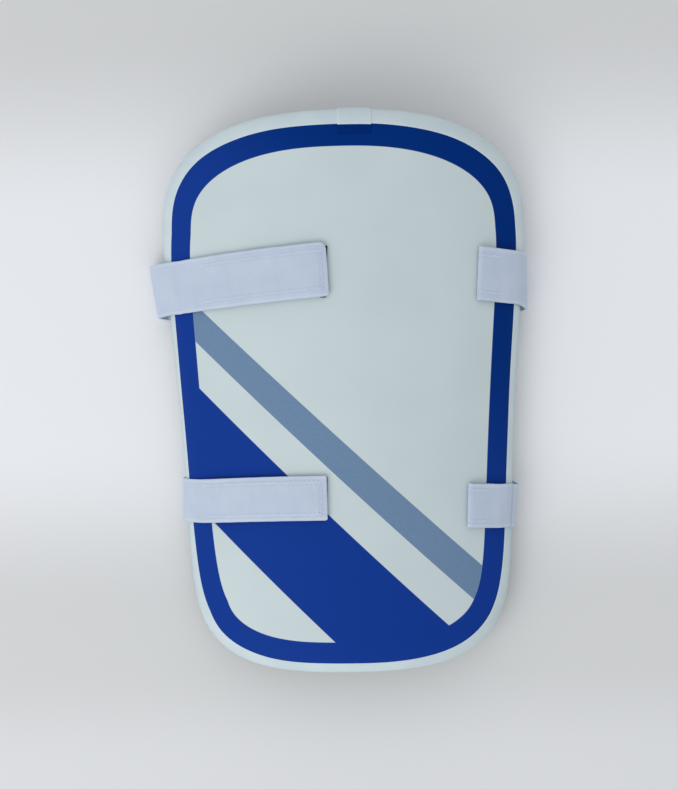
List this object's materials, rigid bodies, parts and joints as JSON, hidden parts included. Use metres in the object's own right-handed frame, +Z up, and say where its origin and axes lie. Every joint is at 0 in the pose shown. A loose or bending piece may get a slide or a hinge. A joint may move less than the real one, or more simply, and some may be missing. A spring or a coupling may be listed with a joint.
{
  "type": "thigh guard",
  "caption": "Moulded foam guard for a thigh, arched across its width, with a bound edge and elastic straps that close on hook tape.",
  "frame": {"origin": "middle of the footprint, on the surface it lies on", "axes": "+Y along the guard towards its wide end, +X across it towards the sewn strap ends, +Z up out of its front"},
  "size_m": [0.2588, 0.376, 0.0661],
  "materials": {
    "foam": "closed-cell foam under a thin knitted lining, matt, pale grey",
    "facing": "moulded satin sheet, off-white, with a printed blue border and two diagonal stripes",
    "binding": "woven white binding tape, satin, sewn round the edge",
    "elastic": "knitted elastic webbing, ribbed along its length, pale lavender white",
    "hook_tape": "woven black hook tape, matt",
    "loop_patch": "brushed white loop tape, matt"
  },
  "bodies": {
    "root": {"pad": "foam", "facing": "facing", "edge_binding": "binding", "binding_lap": "binding", "upper_strap": "elastic", "upper_hook_tape": "hook_tape", "upper_loop_patch": "loop_patch", "lower_strap": "elastic", "lower_hook_tape": "hook_tape", "lower_loop_patch": "loop_patch"}
  },
  "joints": []
}
